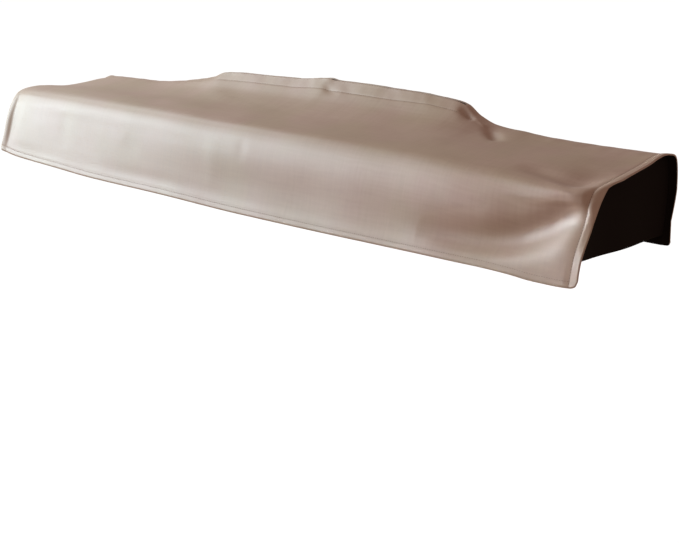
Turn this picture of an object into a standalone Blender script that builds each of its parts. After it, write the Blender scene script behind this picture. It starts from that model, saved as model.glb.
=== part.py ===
"""Dust cover for a long slab: a draped main panel with a slot in its top, and two end panels.

Lengths are in metres. Sections are written as depth y behind the front hem and height z above
the front hem; the finished cover is shifted so that the level that carries it, just under the
cloth, is at the origin. +X runs to the right along the cover, +Y to its back, +Z up.
"""

import bmesh
import bpy
import numpy as np

# Driving sizes
COVER_LENGTH = 1.300
CLOTH = 0.0015
HEM_CLOTH = 0.0025
HEM_WIDTH = 0.010
END_HEM_WIDTH = 0.014
STITCH_DRAW = 0.0005
SEAM_GAP = 0.0012
MID_DEPTH = 0.150
TOP_HEIGHT = 0.130

# Slot in the top
SLOT_LEFT = -0.275
SLOT_RIGHT = 0.285
RISE_DEPTH = 0.205
LIP_FOOT_DEPTH = 0.232
LIP_TURN = 0.003
LIP_FRONT_DEPTH = 0.2495
LIP_BACK_DEPTH = 0.2620
LIP_BACK_FOOT_DEPTH = 0.2690
LIP_HEM = 0.010

# Top of the cover
TOP_FRONT_RUN = 0.045
TOP_MID_DEPTH = 0.155

# Back drop, the same all along but for its slow waves
BACK_BROW = (0.2930, 0.1380)
BACK_CHEST = (0.3050, 0.0850)
BACK_KNEE = (0.3020, 0.0330)
BACK_HEM = (0.2980, -0.0060)
BACK_LIP_SLOPE = 0.80
BACK_WAVE = 0.0020
BACK_WAVE_LENGTH = 0.310

# Front drop and its turn into the top, from left to right
# x, then y and z of the hem, the shin, the knee, the chest, the collar and the brow
FRONT_SECTIONS = (
    (-0.650, -0.005, 0.026, -0.001, 0.042, 0.004, 0.060, 0.017, 0.096, 0.033, 0.122, 0.047, 0.137),
    (-0.600, -0.008, 0.020, -0.002, 0.037, 0.003, 0.055, 0.018, 0.100, 0.030, 0.127, 0.043, 0.1410),
    (-0.500, -0.009, 0.015, -0.002, 0.033, 0.004, 0.053, 0.019, 0.102, 0.029, 0.129, 0.043, 0.1430),
    (-0.380, -0.009, 0.009, -0.001, 0.030, 0.005, 0.052, 0.019, 0.102, 0.029, 0.130, 0.043, 0.1435),
    (-0.200, -0.008, 0.006, 0.001, 0.027, 0.006, 0.050, 0.018, 0.102, 0.029, 0.130, 0.043, 0.1430),
    (0.000, -0.008, 0.001, 0.001, 0.023, 0.007, 0.047, 0.017, 0.101, 0.029, 0.129, 0.043, 0.1425),
    (0.200, -0.008, 0.000, 0.001, 0.022, 0.007, 0.046, 0.017, 0.100, 0.029, 0.128, 0.043, 0.1415),
    (0.330, -0.007, 0.000, 0.002, 0.019, 0.008, 0.039, 0.017, 0.095, 0.029, 0.126, 0.043, 0.1400),
    (0.400, -0.007, 0.000, 0.001, 0.018, 0.010, 0.036, 0.017, 0.090, 0.029, 0.124, 0.042, 0.1370),
    (0.470, -0.006, 0.000, 0.003, 0.020, 0.014, 0.040, 0.021, 0.084, 0.031, 0.119, 0.042, 0.1325),
    (0.530, -0.005, -0.002, 0.005, 0.024, 0.023, 0.052, 0.030, 0.088, 0.0325, 0.1145, 0.040, 0.1280),
    (0.580, -0.005, -0.005, 0.008, 0.034, 0.031, 0.076, 0.034, 0.098, 0.0320, 0.1125, 0.0370, 0.1255),
    (0.610, -0.005, -0.005, 0.009, 0.040, 0.032, 0.081, 0.0355, 0.099, 0.0325, 0.1130, 0.0385, 0.1258),
    (0.625, -0.005, -0.0045, 0.009, 0.040, 0.032, 0.080, 0.0360, 0.099, 0.0350, 0.1130, 0.0430, 0.1262),
    (0.637, -0.004, -0.004, 0.009, 0.039, 0.032, 0.078, 0.0390, 0.098, 0.0420, 0.1120, 0.0570, 0.1270),
    (0.650, -0.004, 0.000, 0.007, 0.037, 0.034, 0.074, 0.047, 0.092, 0.060, 0.110, 0.080, 0.127),
)

# Top, from left to right
# x, then the height behind the brow, at mid depth, at the rise, at the lip's foot and at the crest
TOP_SECTIONS = (
    (-0.650, 0.1440, 0.1360, 0.1355, 0.1362, 0.1370),
    (-0.600, 0.1460, 0.1405, 0.1420, 0.1440, 0.1455),
    (-0.550, 0.1475, 0.1440, 0.1455, 0.1475, 0.1493),
    (-0.480, 0.1485, 0.1455, 0.1470, 0.1492, 0.1508),
    (-0.430, 0.1490, 0.1470, 0.1500, 0.1535, 0.1548),
    (-0.343, 0.1490, 0.1500, 0.1570, 0.1650, 0.1678),
    (-0.300, 0.1490, 0.1510, 0.1600, 0.1710, 0.1768),
    (-0.267, 0.1490, 0.1515, 0.1620, 0.1760, 0.1885),
    (-0.155, 0.1485, 0.1525, 0.1650, 0.1795, 0.1922),
    (-0.080, 0.1480, 0.1530, 0.1662, 0.1812, 0.1950),
    (-0.033, 0.1475, 0.1530, 0.1675, 0.1850, 0.2004),
    (-0.014, 0.1475, 0.1530, 0.1680, 0.1858, 0.2020),
    (0.005, 0.1475, 0.1530, 0.1675, 0.1842, 0.1999),
    (0.080, 0.1475, 0.1530, 0.1672, 0.1828, 0.1996),
    (0.150, 0.1475, 0.1530, 0.1668, 0.1822, 0.1977),
    (0.212, 0.1475, 0.1525, 0.1660, 0.1832, 0.1966),
    (0.264, 0.1475, 0.1525, 0.1638, 0.1792, 0.1918),
    (0.286, 0.1475, 0.1520, 0.1612, 0.1757, 0.1865),
    (0.310, 0.1470, 0.1510, 0.1575, 0.1665, 0.1705),
    (0.340, 0.1460, 0.1490, 0.1525, 0.1570, 0.1588),
    (0.393, 0.1440, 0.1465, 0.1490, 0.1520, 0.1538),
    (0.453, 0.1415, 0.1450, 0.1465, 0.1480, 0.1495),
    (0.540, 0.1365, 0.1430, 0.1450, 0.1470, 0.1485),
    (0.590, 0.1345, 0.1400, 0.1440, 0.1470, 0.1485),
    (0.620, 0.1345, 0.1390, 0.1435, 0.1475, 0.1490),
    (0.650, 0.1345, 0.1385, 0.1435, 0.1485, 0.1500),
)

# Folds: face, start x and a, middle x and a, end x and a, half width on the side of more a and on
# the side of less a where the fold runs to the right, rise
# a is the height on the front drop and the depth on the top; a negative rise is a trough
FOLDS = (
    ("front", 0.360, 0.040, 0.572, 0.010, 0.646, 0.136, 0.023, 0.021, -0.0125),
    ("front", 0.618, 0.128, 0.622, 0.080, 0.618, 0.015, 0.012, 0.018, 0.0015),
    ("front", -0.618, 0.125, -0.628, 0.085, -0.630, 0.040, 0.012, 0.012, -0.0010),
    ("front", -0.488, 0.120, -0.478, 0.085, -0.465, 0.050, 0.016, 0.016, -0.0006),
    ("front", -0.310, 0.095, -0.290, 0.080, -0.262, 0.072, 0.014, 0.016, -0.0005),
    ("front", -0.099, 0.128, -0.085, 0.080, -0.074, 0.030, 0.020, 0.014, 0.0006),
    ("front", -0.024, 0.128, -0.018, 0.110, -0.016, 0.085, 0.011, 0.011, -0.0005),
    ("top", 0.490, 0.092, 0.565, 0.070, 0.640, 0.080, 0.014, 0.016, -0.0048),
    ("top", 0.588, 0.045, 0.608, 0.085, 0.618, 0.145, 0.028, 0.020, -0.0060),
    ("top", 0.280, 0.240, 0.298, 0.239, 0.314, 0.236, 0.005, 0.008, -0.0070),
    ("top", 0.336, 0.242, 0.360, 0.218, 0.392, 0.182, 0.013, 0.010, -0.0085),
    ("top", 0.300, 0.2445, 0.316, 0.2390, 0.346, 0.2290, 0.003, 0.003, 0.0016),
    ("top", -0.315, 0.240, -0.250, 0.200, -0.170, 0.150, 0.025, 0.025, 0.0020),
    ("top", -0.016, 0.245, -0.006, 0.228, 0.030, 0.229, 0.005, 0.006, -0.0016),
)

# How far each end leans out past the cover's length at some feature lines: line, left, right
END_FLARES = (
    ("hem", 0.0050, -0.0020),
    ("knee", 0.0000, -0.0020),
    ("collar", 0.0015, 0.0000),
    ("front", 0.0000, 0.0000),
    ("back_brow", -0.0060, 0.0015),
    ("back_chest", 0.0000, 0.0010),
    ("back_knee", 0.0000, -0.0030),
    ("back_hem", 0.0010, 0.0010),
)
END_FLARE_REACH = 0.060

# How far the end hems stand out of the cloth at some feature lines: line, left, right
END_ROLLS = (
    ("hem", -0.0010, 0.0010),
    ("knee", -0.0002, 0.0026),
    ("collar", 0.0005, 0.0066),
    ("brow", 0.0005, 0.0056),
    ("front", -0.0010, 0.0018),
    ("crest", -0.0010, 0.0012),
    ("back_brow", 0.0010, 0.0020),
    ("back_hem", 0.0010, 0.0030),
)
ROLL_GROOVE = 0.06

# The section's feature lines, from the front hem to the back hem, and the rows up to each next one
LINES = (
    "hem", "hem_seam", "shin", "knee", "chest", "collar", "brow", "front", "mid", "rise", "before_foot",
    "foot", "band", "lip_top", "crest", "back_lip", "back_foot", "back_brow", "back_chest", "back_knee",
    "back_seam", "back_hem",
)
ROWS_BETWEEN = (1, 1, 2, 4, 3, 3, 4, 4, 3, 2, 1, 1, 1, 1, 1, 2, 3, 3, 2, 1, 1)

# Columns of the cloth's grid: where each stretch starts, and how many columns it has
COLUMN_STRETCHES = (
    (-0.650, 2),
    (-0.636, 2),
    (-0.600, 6),
    (-0.430, 6),
    (SLOT_LEFT, 17),
    (SLOT_RIGHT, 4),
    (0.345, 6),
    (0.480, 8),
    (0.620, 2),
    (0.636, 3),
    (0.650, 0),
)

# End panels
END_INSET = 0.0112
END_HEM_FRONT = 0.031
END_HEM_BACK = 0.011
END_HEM_SAG = 0.004
END_BULGE = 0.0050
END_CREASE = 0.0025
END_ROWS = 22
END_COLUMNS = 26

# Colours and finish
CLOTH_COLOUR = (0.40, 0.30, 0.23, 1.0)
END_COLOUR = (0.012, 0.009, 0.007, 1.0)
CLOTH_ROUGHNESS = 0.50
END_ROUGHNESS = 0.90


def clear_scene():
    """Remove every object that the scene starts with."""
    for obj in list(bpy.data.objects):
        bpy.data.objects.remove(obj, do_unlink=True)


def cloth_material(name, colour, roughness):
    """A plain cloth finish."""
    material = bpy.data.materials.new(name)
    material.use_nodes = True
    shader = material.node_tree.nodes["Principled BSDF"]
    shader.inputs["Base Color"].default_value = colour
    shader.inputs["Roughness"].default_value = roughness
    shader.inputs["Metallic"].default_value = 0.0
    return material


def along(table, xs):
    """The table's columns at each x, on a smooth curve that never overshoots its rows."""
    rows = np.array(table, dtype=float)
    knots = rows[:, 0]
    values = rows[:, 1:]
    step = np.diff(knots)[:, None]
    slope = np.diff(values, axis=0) / step
    tangent = np.zeros_like(values)
    same_way = slope[:-1] * slope[1:] > 0.0
    product = np.where(same_way, slope[:-1] * slope[1:], 1.0)
    total = np.where(same_way, slope[:-1] + slope[1:], 1.0)
    tangent[1:-1] = np.where(same_way, 2.0 * product / total, 0.0)
    tangent[0] = slope[0]
    tangent[-1] = slope[-1]
    xs = np.clip(xs, knots[0], knots[-1])
    k = np.clip(np.searchsorted(knots, xs, side="right") - 1, 0, len(knots) - 2)
    h = (knots[k + 1] - knots[k])[:, None]
    t = ((xs - knots[k]) / (knots[k + 1] - knots[k]))[:, None]
    start = (2 * t**3 - 3 * t**2 + 1) * values[k] + (t**3 - 2 * t**2 + t) * h * tangent[k]
    end = (3 * t**2 - 2 * t**3) * values[k + 1] + (t**3 - t**2) * h * tangent[k + 1]
    return start + end


def feature_lines(xs):
    """The sections' feature points (y, z) at each x, from the front hem to the back hem."""
    front = along(FRONT_SECTIONS, xs).reshape(len(xs), 6, 2)
    hem, shin, knee, chest, collar, brow = (front[:, i] for i in range(6))
    front_z, mid_z, rise_z, foot_z, crest_z = along(TOP_SECTIONS, xs).T
    wave = BACK_WAVE * np.sin(2.0 * np.pi * (xs - 0.08) / BACK_WAVE_LENGTH)
    level = np.ones_like(xs)
    up = (shin - hem) / np.linalg.norm(shin - hem, axis=1)[:, None]
    back_knee = np.stack((BACK_KNEE[0] + 0.6 * wave, BACK_KNEE[1] * level), axis=1)
    back_hem = np.stack((BACK_HEM[0] + wave, BACK_HEM[1] + 0.3 * wave), axis=1)
    back_up = (back_knee - back_hem) / np.linalg.norm(back_knee - back_hem, axis=1)[:, None]
    back_foot_z = BACK_BROW[1] + BACK_LIP_SLOPE * (crest_z - BACK_BROW[1])
    rise = np.stack((RISE_DEPTH * level, rise_z), axis=1)
    foot = np.stack((LIP_FOOT_DEPTH * level, foot_z), axis=1)
    crest = np.stack((LIP_FRONT_DEPTH * level, crest_z), axis=1)
    into = (foot - rise) / np.linalg.norm(foot - rise, axis=1)[:, None]
    out = (crest - foot) / np.linalg.norm(crest - foot, axis=1)[:, None]
    lines = (
        hem,
        hem + HEM_WIDTH * up,
        shin,
        knee,
        chest,
        collar,
        brow,
        np.stack((brow[:, 0] + TOP_FRONT_RUN, front_z), axis=1),
        np.stack((TOP_MID_DEPTH * level, mid_z), axis=1),
        rise,
        foot - LIP_TURN * into,
        foot,
        foot + LIP_TURN * out,
        crest - LIP_TURN * out,
        crest,
        np.stack((LIP_BACK_DEPTH * level, crest_z - 0.001), axis=1),
        np.stack((LIP_BACK_FOOT_DEPTH * level, back_foot_z), axis=1),
        np.stack((BACK_BROW[0] * level, BACK_BROW[1] * level), axis=1),
        np.stack((BACK_CHEST[0] * level, BACK_CHEST[1] * level), axis=1),
        back_knee,
        back_hem + HEM_WIDTH * back_up,
        back_hem,
    )
    return np.stack(lines, axis=1)


def base_sections(xs):
    """The base sections: place and outward normal (y, z) of every column and row, before any fold."""
    points = feature_lines(xs)
    chord = np.linalg.norm(np.diff(points, axis=1), axis=2)
    steps = np.sqrt(chord)
    knots = np.concatenate((np.zeros((len(xs), 1)), np.cumsum(steps, axis=1)), axis=1)[:, :, None]
    tangent = np.zeros_like(points)
    before = (points[:, 1:-1] - points[:, :-2]) / (knots[:, 1:-1] - knots[:, :-2])
    after = (points[:, 2:] - points[:, 1:-1]) / (knots[:, 2:] - knots[:, 1:-1])
    mix = (knots[:, 1:-1] - knots[:, :-2]) / (knots[:, 2:] - knots[:, :-2])
    tangent[:, 1:-1] = (1.0 - mix) * before + mix * after
    tangent[:, 0] = before[:, 0]
    tangent[:, -1] = after[:, -1]
    place = []
    heading = []
    for i, count in enumerate(ROWS_BETWEEN):
        h = knots[:, i + 1] - knots[:, i]
        last = 1 if i == len(ROWS_BETWEEN) - 1 else 0
        for j in range(count + last):
            t = j / count
            start = (2 * t**3 - 3 * t**2 + 1) * points[:, i] + (t**3 - 2 * t**2 + t) * h * tangent[:, i]
            end = (3 * t**2 - 2 * t**3) * points[:, i + 1] + (t**3 - t**2) * h * tangent[:, i + 1]
            turn = (6 * t**2 - 6 * t) * (points[:, i] - points[:, i + 1]) / h
            turn = turn + (3 * t**2 - 4 * t + 1) * tangent[:, i] + (3 * t**2 - 2 * t) * tangent[:, i + 1]
            place.append(start + end)
            heading.append(turn / np.linalg.norm(turn, axis=1)[:, None])
    place = np.stack(place, axis=1)
    heading = np.stack(heading, axis=1)
    normal = np.stack((-heading[:, :, 1], heading[:, :, 0]), axis=2)
    return place, normal


def line_row(line):
    """The grid row of a feature line."""
    return sum(ROWS_BETWEEN[:LINES.index(line)])


def nearest_on_path(path, x, a):
    """For each point its distance to the path, how far along the path that is, and if it's to the left."""
    start = path[:-1]
    leg = path[1:] - start
    length = np.sum(leg**2, axis=1)
    off_x = x[:, None] - start[:, 0]
    off_a = a[:, None] - start[:, 1]
    part = np.clip((off_x * leg[:, 0] + off_a * leg[:, 1]) / length, 0.0, 1.0)
    away = np.hypot(off_x - part * leg[:, 0], off_a - part * leg[:, 1])
    left = leg[:, 0] * off_a - leg[:, 1] * off_x > 0.0
    nearest = np.argmin(away, axis=1)
    picked = np.arange(len(x))
    return away[picked, nearest], (nearest + part[picked, nearest]) / len(leg), left[picked, nearest]


def fold_rise(face, x, a):
    """How far the folds lift the cloth off its base section at x and a."""
    rise = np.zeros_like(x)
    for kind, x0, a0, xm, am, x1, a1, width_left, width_right, height in FOLDS:
        if kind != face:
            continue
        t = np.linspace(0.0, 1.0, 25)
        path_x = (1 - t) ** 2 * x0 + 2 * t * (1 - t) * xm + t**2 * x1
        path_a = (1 - t) ** 2 * a0 + 2 * t * (1 - t) * am + t**2 * a1
        reach = 3.0 * max(width_left, width_right)
        near = (x > path_x.min() - reach) & (x < path_x.max() + reach)
        near &= (a > path_a.min() - reach) & (a < path_a.max() + reach)
        away, share, left = nearest_on_path(np.stack((path_x, path_a), axis=1), x[near], a[near])
        half_width = np.where(left, width_left, width_right)
        fade = np.sin(np.pi * share)
        rise[near] += height * fade * np.exp(-((away / half_width) ** 2))
    return rise


def grid_columns():
    """The x of each column of the main panel's grid."""
    xs = []
    for (start, count), (end, _) in zip(COLUMN_STRETCHES[:-1], COLUMN_STRETCHES[1:]):
        xs.extend(start + (end - start) * j / count for j in range(count))
    xs.append(COLUMN_STRETCHES[-1][0])
    return np.array(xs)


def end_lift(x, rows):
    """The end hems' roll out of the cloth, with the groove of their seam beside it."""
    lines = [line_row(line) for line, _, _ in END_ROLLS]
    left = np.interp(rows, lines, [left for _, left, _ in END_ROLLS])
    right = np.interp(rows, lines, [right for _, _, right in END_ROLLS])
    height = np.where(x < 0.0, left[None, :], right[None, :])
    inside = (COVER_LENGTH / 2 - np.abs(x)) / END_HEM_WIDTH
    groove = np.exp(-((inside - 1.0) / 0.3) ** 2)
    dome = np.sin(0.55 * np.pi * np.clip(1.0 - inside, 0.0, 1.0))
    return height * (dome - ROLL_GROOVE * groove)


def draped_sections(xs):
    """The outer face's rows (y, z) at each x, with the folds and the drawn-in stitching."""
    place, normal = base_sections(xs)
    rows = np.arange(place.shape[1])
    x = np.broadcast_to(xs[:, None], place.shape[:2])
    brow_row = line_row("brow")
    crest_row = line_row("crest")
    front = fold_rise("front", x, place[:, :, 1]) * np.clip((brow_row + 4 - rows) / 8.0, 0.0, 1.0)
    on_top = (rows >= brow_row) & (rows < crest_row)
    top = np.where(on_top[None, :], fold_rise("top", x, place[:, :, 0]), 0.0)
    drawn = (rows == line_row("hem_seam")) | (rows == line_row("back_seam"))
    drawn = drawn[None, :] | (np.abs(x - COVER_LENGTH / 2 + END_HEM_WIDTH) < 1e-6)
    drawn = drawn | ((rows[None, :] == line_row("foot")) & (x > SLOT_LEFT) & (x < SLOT_RIGHT))
    rise = front + top + end_lift(x, rows) - STITCH_DRAW * drawn
    return place + rise[:, :, None] * normal


def end_flare(xs, rows):
    """How far the ends' flare moves each point of the cloth along the cover."""
    lines = [line_row(line) for line, _, _ in END_FLARES]
    left = np.interp(rows, lines, [left for _, left, _ in END_FLARES])
    right = np.interp(rows, lines, [right for _, _, right in END_FLARES])
    reach = np.maximum(0.0, (np.abs(xs) - COVER_LENGTH / 2 + END_FLARE_REACH) / END_FLARE_REACH)
    return np.where(xs[:, None] < 0.0, -left[None, :], right[None, :]) * (reach**2)[:, None]


def in_frame(x, y, z):
    """From section measures to the row frame."""
    return np.stack((x, y - MID_DEPTH, z - TOP_HEIGHT), axis=-1)


def cloth_grid(columns, rows):
    """A flat grid whose vertices carry their column and row as x and y."""
    bm = bmesh.new()
    bmesh.ops.create_grid(bm, x_segments=columns, y_segments=rows, size=0.5)
    for v in bm.verts:
        v.co.x = round((v.co.x + 0.5) * columns)
        v.co.y = round((v.co.y + 0.5) * rows)
    return bm


def face_outward(bm, axis, sign):
    """Turn the open surface so that it faces mostly along one axis."""
    bmesh.ops.recalc_face_normals(bm, faces=bm.faces)
    if sign * sum(f.normal[axis] * f.calc_area() for f in bm.faces) < 0.0:
        bmesh.ops.reverse_faces(bm, faces=bm.faces)


def sewn_sheet(name, bm, place, hem, facing, material, collection):
    """Lay the grid on its places and close it by Solidify, thicker in its hems.

    place holds a point for every column and row, hem how much of the hem's thickness each has, and
    facing is the axis and sign that the outer side mostly faces.
    """
    bm.verts.ensure_lookup_table()
    where = [(int(v.co.x), int(v.co.y)) for v in bm.verts]
    for v, (i, j) in zip(bm.verts, where):
        v.co = place[i, j]
    face_outward(bm, *facing)
    mesh = bpy.data.meshes.new(name)
    bm.to_mesh(mesh)
    bm.free()
    obj = bpy.data.objects.new(name, mesh)
    collection.objects.link(obj)
    mesh.materials.append(material)
    group = obj.vertex_groups.new(name="hem")
    for v, (i, j) in enumerate(where):
        share = CLOTH + (HEM_CLOTH - CLOTH) * hem[i, j]
        group.add([v], share / HEM_CLOTH, "REPLACE")
    solid = obj.modifiers.new("cloth", "SOLIDIFY")
    solid.thickness = HEM_CLOTH
    solid.offset = -1.0
    solid.use_even_offset = True
    solid.vertex_group = "hem"
    return obj


def main_panel(collection, material):
    """Front drop, top with its slot, and back drop."""
    xs = grid_columns()
    sections = draped_sections(xs)
    rows = np.arange(sections.shape[1])
    x = xs[:, None] + end_flare(xs, rows)
    place = in_frame(x, sections[:, :, 0], sections[:, :, 1])
    at_end = np.abs(xs) > COVER_LENGTH / 2 - END_HEM_WIDTH - 1e-6
    at_drop = (rows <= line_row("hem_seam")) | (rows >= line_row("back_seam"))
    beside_slot = (xs > SLOT_LEFT - LIP_HEM) & (xs < SLOT_RIGHT + LIP_HEM)
    lip = beside_slot[:, None] & ((rows >= line_row("band")) & (rows < line_row("back_foot")))[None, :]
    hem = (at_end[:, None] | at_drop[None, :] | lip).astype(float)
    bm = cloth_grid(len(xs) - 1, len(rows) - 1)
    slot_row = line_row("crest")
    in_slot = []
    for face in bm.faces:
        centre = face.calc_center_median()
        middle = np.interp(centre.x, range(len(xs)), xs)
        if slot_row < centre.y < slot_row + 1 and SLOT_LEFT < middle < SLOT_RIGHT:
            in_slot.append(face)
    bmesh.ops.delete(bm, geom=in_slot, context="FACES")
    return sewn_sheet("main_panel", bm, place, hem, (2, 1), material, collection)


def section_at(x):
    """The main panel's outer rows at x, as its grid has them once its ends are flared."""
    xs = grid_columns()
    xs = xs[np.abs(xs - x) < END_FLARE_REACH]
    place = draped_sections(xs)
    moved = xs[:, None] + end_flare(xs, np.arange(place.shape[1]))
    rows = [[np.interp(x, moved[:, i], place[:, i, k]) for k in (0, 1)] for i in range(place.shape[1])]
    return np.array(rows)


def inner_profile(side):
    """The line, just inside the main panel, that an end panel's edge follows."""
    outer_x = side * (COVER_LENGTH / 2 - END_INSET)
    near = section_at(outer_x)
    beside = [section_at(outer_x - side * share * HEM_CLOTH) for share in (-0.5, 0.5, 1.0, 1.5)]
    tangent = np.gradient(near, axis=0)
    tangent = tangent / np.linalg.norm(tangent, axis=1)[:, None]
    normal = np.stack((-tangent[:, 1], tangent[:, 0]), axis=1)
    lower = np.sum((near - np.stack((near, *beside))) * normal, axis=2).max(axis=0)
    return near - (HEM_CLOTH + SEAM_GAP + lower)[:, None] * normal


def run_of(profile):
    """How far along a profile each of its points is."""
    return np.concatenate(((0.0,), np.cumsum(np.linalg.norm(np.diff(profile, axis=0), axis=1))))


def edge_between(profile, start, end, count):
    """Points evenly spaced along the profile from one place on it to another."""
    run = run_of(profile)
    where = np.linspace(start, end, count + 1)
    return np.stack((np.interp(where, run, profile[:, 0]), np.interp(where, run, profile[:, 1])), axis=1)


def side_hem_run(profile, height, first, last):
    """How far along the profile its stretch from one row to another passes a height."""
    heights = profile[first:last + 1, 1]
    runs = run_of(profile)[first:last + 1]
    order = np.argsort(heights)
    return float(np.interp(height, heights[order], runs[order]))


def end_panel(name, side, collection, material):
    """An upright panel spanned between the drops and the top, with its own straight hem."""
    profile = inner_profile(side)
    run = run_of(profile)
    brow = run[line_row("brow")]
    back = run[line_row("back_brow")]
    low = side_hem_run(profile, END_HEM_FRONT, 0, line_row("brow"))
    high = side_hem_run(profile, END_HEM_BACK, line_row("back_brow"), len(profile) - 1)
    front_edge = edge_between(profile, low, brow, END_ROWS)
    back_edge = edge_between(profile, high, back, END_ROWS)
    top_edge = edge_between(profile, brow, back, END_COLUMNS)
    s = np.linspace(0.0, 1.0, END_COLUMNS + 1)[:, None, None]
    t = np.linspace(0.0, 1.0, END_ROWS + 1)[None, :, None]
    foot = (1.0 - s) * front_edge[0] + s * back_edge[0]
    foot = foot - np.array((0.0, END_HEM_SAG)) * 4.0 * s * (1.0 - s)
    spanned = (1.0 - t) * foot + t * top_edge[:, None] + (1.0 - s) * front_edge[None] + s * back_edge[None]
    corners = (1.0 - s) * (1.0 - t) * front_edge[0] + s * (1.0 - t) * back_edge[0]
    corners = corners + (1.0 - s) * t * front_edge[-1] + s * t * back_edge[-1]
    yz = spanned - corners
    slack = np.sin(np.pi * s) * (1.0 - t)
    inward = END_BULGE * slack + END_CREASE * slack * np.sin(np.pi * (2.6 * s + 0.7 * t))
    x = side * (COVER_LENGTH / 2 - END_INSET - inward[:, :, 0])
    place = in_frame(x, yz[:, :, 0], yz[:, :, 1])
    hem = np.zeros(place.shape[:2])
    hem[:, :2] = 1.0
    bm = cloth_grid(END_COLUMNS, END_ROWS)
    return sewn_sheet(name, bm, place, hem, (0, side), material, collection)


def main():
    clear_scene()
    collection = bpy.data.collections.new("dust_cover")
    bpy.context.scene.collection.children.link(collection)
    panel_material = cloth_material("panel_cloth", CLOTH_COLOUR, CLOTH_ROUGHNESS)
    end_material = cloth_material("end_cloth", END_COLOUR, END_ROUGHNESS)
    main_panel(collection, panel_material)
    end_panel("end_panel_right", 1, collection, end_material)
    end_panel("end_panel_left", -1, collection, end_material)


main()
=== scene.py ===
"""Looks of a dust cover: satin-coated cloth in the drape it has over a long slab, with sewn hems.

Lengths are in metres. Sections are written as depth y behind the front hem and height z above the
front hem, and shifted to the part's own frame at the end. +X runs along the cover, +Y to its back, +Z up.
"""

import math

import bmesh
import bpy
import numpy as np
from mathutils import Matrix, Vector, noise


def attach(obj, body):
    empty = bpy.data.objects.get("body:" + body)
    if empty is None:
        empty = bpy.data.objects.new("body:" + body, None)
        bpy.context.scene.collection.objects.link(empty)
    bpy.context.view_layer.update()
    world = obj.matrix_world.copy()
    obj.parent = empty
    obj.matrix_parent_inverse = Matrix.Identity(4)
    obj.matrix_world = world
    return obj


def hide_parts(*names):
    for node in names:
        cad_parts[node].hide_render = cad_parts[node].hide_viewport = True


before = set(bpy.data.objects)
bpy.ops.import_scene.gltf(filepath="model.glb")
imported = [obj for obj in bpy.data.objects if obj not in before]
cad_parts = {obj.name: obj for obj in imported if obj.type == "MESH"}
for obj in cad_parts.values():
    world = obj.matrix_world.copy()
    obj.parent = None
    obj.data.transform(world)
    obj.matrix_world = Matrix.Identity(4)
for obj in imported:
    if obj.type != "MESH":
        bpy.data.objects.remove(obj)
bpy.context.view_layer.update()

# Cloth
COVER_LENGTH = 1.300
CLOTH = 0.0015
HEM_CLOTH = 0.0025
HEM_WIDTH = 0.010
END_HEM_WIDTH = 0.014
CORNER_RADIUS = 0.006
SEAM_GAP = 0.0012
MID_DEPTH = 0.150
TOP_HEIGHT = 0.130
TINY = 1e-6

# Stitches, and how far they draw the cloth in
STITCH_DRAW = 0.0005
STITCH_PITCH = 0.0042
STITCH_LENGTH = 0.0033
STITCH_STEP = 0.001
THREAD = 0.0009
THREAD_RISE = 0.2

# Slot in the top
SLOT_LEFT = -0.275
SLOT_RIGHT = 0.285
RISE_DEPTH = 0.205
LIP_FOOT_DEPTH = 0.232
LIP_TURN = 0.003
LIP_FRONT_DEPTH = 0.2495
LIP_BACK_DEPTH = 0.2620
LIP_BACK_DROP = 0.001
LIP_BACK_FOOT_DEPTH = 0.2690
LIP_HEM = 0.010

# Top of the cover
TOP_FRONT_RUN = 0.045
TOP_MID_DEPTH = 0.155

# Back drop, the same all along but for its slow waves
BACK_BROW = (0.2930, 0.1380)
BACK_CHEST = (0.3050, 0.0850)
BACK_KNEE = (0.3020, 0.0330)
BACK_HEM = (0.2980, -0.0060)
BACK_LIP_SLOPE = 0.80
BACK_WAVE = 0.0020
BACK_WAVE_LENGTH = 0.310
BACK_WAVE_START = 0.08
KNEE_WAVE_SHARE = 0.6
HEM_LIFT_SHARE = 0.3

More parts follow.
